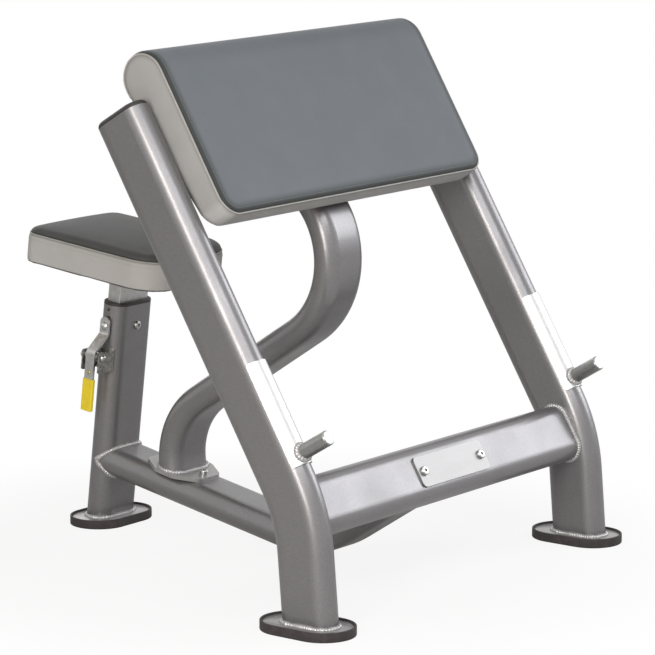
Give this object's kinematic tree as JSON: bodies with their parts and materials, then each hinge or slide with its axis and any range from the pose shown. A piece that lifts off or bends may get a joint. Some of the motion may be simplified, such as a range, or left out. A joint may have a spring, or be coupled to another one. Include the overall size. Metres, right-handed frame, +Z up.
{
  "type": "preacher curl bench",
  "caption": "Preacher curl bench with a wedge-shaped arm pad between bent flat-oval legs, bar rests with pegs and a sliding seat held by a spring lever.",
  "frame": {"origin": "on the floor, at the middle of the bench's outline", "axes": "+Z up, +X across the bench, the arm pad faces -Y and the seat is on the +Y side"},
  "size_m": [0.87, 0.9187, 0.8949],
  "materials": {
    "frame_paint": "silver-grey metallic powder coat",
    "black_plastic": "moulded black",
    "foot_rubber": "matte black",
    "zinc_plate": "bright zinc plating",
    "bar_rest_plate": "bright plating",
    "lever_steel": "satin zinc plating",
    "spring_steel": "oiled spring wire",
    "grip_vinyl": "dipped yellow vinyl",
    "name_plate_metal": "bare satin",
    "plywood": "plain plywood",
    "pad_vinyl": "blue-grey upholstery vinyl with a light grey border",
    "seat_vinyl": "dark grey upholstery vinyl with a light grey border"
  },
  "bodies": {
    "frame": {"left_leg": "frame_paint", "right_leg": "frame_paint", "left_leg_cap": "black_plastic", "right_leg_cap": "black_plastic", "crossbeam": "frame_paint", "base_beam": "frame_paint", "seat_post": "frame_paint", "left_foot_plate": "frame_paint", "right_foot_plate": "frame_paint", "rear_foot_plate": "frame_paint", "left_rubber_foot": "foot_rubber", "right_rubber_foot": "foot_rubber", "rear_rubber_foot": "foot_rubber", "support_tube": "frame_paint", "support_flange": "frame_paint", "flange_bolts": "zinc_plate", "pad_mount_plate": "frame_paint", "pad_bolts": "zinc_plate", "arm_pad_board": "plywood", "arm_pad_cushion": "pad_vinyl", "left_bar_saddle": "bar_rest_plate", "right_bar_saddle": "bar_rest_plate", "left_bar_peg": "bar_rest_plate", "right_bar_peg": "bar_rest_plate", "name_plate": "name_plate_metal", "name_plate_screws": "zinc_plate", "post_bushing": "black_plastic", "bushing_screw": "zinc_plate", "lever_bracket": "zinc_plate", "pivot_bolt": "zinc_plate", "pivot_nut": "zinc_plate", "lever_spring": "spring_steel"},
    "lever": {"lever": "lever_steel", "lever_grip": "grip_vinyl", "lever_sleeve": "zinc_plate", "lock_pin": "zinc_plate"},
    "seat": {"seat_tube": "zinc_plate", "seat_mount_plate": "frame_paint", "seat_board": "plywood", "seat_cushion": "seat_vinyl", "seat_screws": "zinc_plate"}
  },
  "joints": [
    {"name": "seat_slide", "type": "slide", "parent": "frame", "child": "seat", "axis": [0, -0.1184, 0.993], "range_m": [0, 0.15]},
    {"name": "lever_pivot", "type": "hinge", "parent": "frame", "child": "lever", "pos_m": [-0.078, 0.32758, 0.31378], "axis": [0, -0.993, -0.1184], "range_deg": [0, 14], "stiffness_Nm_per_rad": 0.8, "springref_deg": -28.65, "deforming": ["lever_spring"]}
  ]
}
